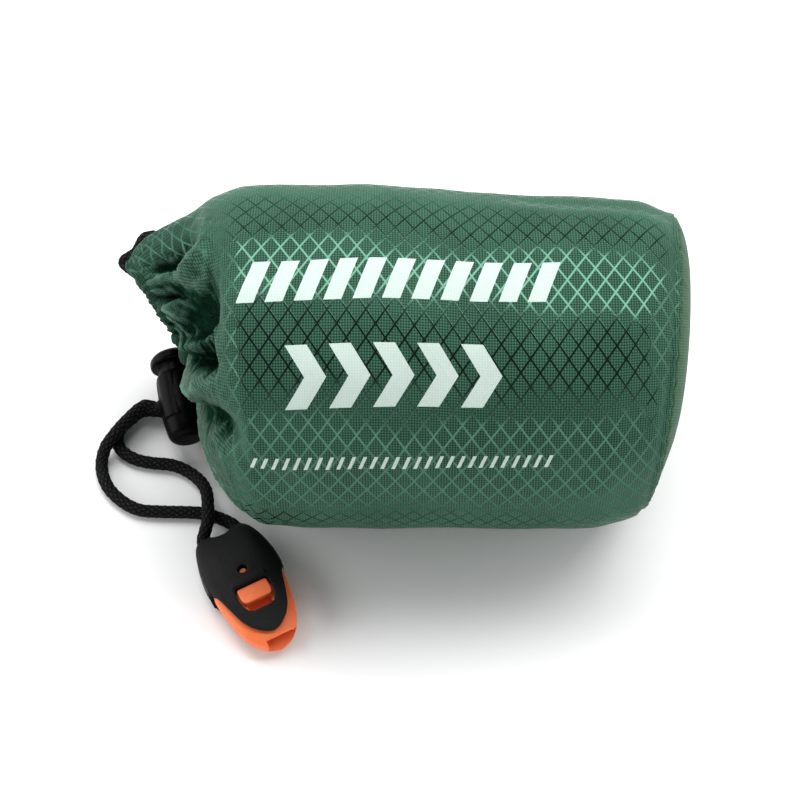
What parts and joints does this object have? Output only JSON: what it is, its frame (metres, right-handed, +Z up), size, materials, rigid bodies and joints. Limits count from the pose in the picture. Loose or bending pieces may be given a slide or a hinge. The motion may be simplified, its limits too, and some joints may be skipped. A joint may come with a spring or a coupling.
{
  "type": "emergency bivy sack",
  "caption": "Emergency bivy packed in a green ripstop drawstring sack lying on its side, mouth cinched, with drawcord, spring cord lock and a whistle on the cord's loop.",
  "frame": {"origin": "on the surface that the sack lies on, under the middle of the sack without its cord, lock and whistle", "axes": "+X along the sack from the cinched mouth to the round base, -Y towards the viewer's side with the printed face, +Z up"},
  "size_m": [0.1612, 0.1141, 0.0883],
  "materials": {
    "cloth": "matt green ripstop nylon with a slight sheen, diamond grid of thicker yarns",
    "cord": "black braided polyester cord, matt",
    "black_plastic": "moulded black plastic, satin",
    "orange_plastic": "moulded orange plastic, semi-gloss"
  },
  "bodies": {
    "sack": {"sack_body": "cloth", "end_panel": "cloth", "cord_outer": "cord", "cord_inner": "cord", "cord_back": "cord", "lock_barrel": "black_plastic", "whistle_body": "orange_plastic", "whistle_cover": "black_plastic"},
    "plunger": {"lock_plunger": "black_plastic"}
  },
  "joints": [
    {"name": "plunger_slide", "type": "slide", "parent": "sack", "child": "plunger", "axis": [0.2074, -0.9758, -0.0698], "range_m": [0, 0.0026], "stiffness_N_per_m": 800, "springref_m": -0.002}
  ]
}
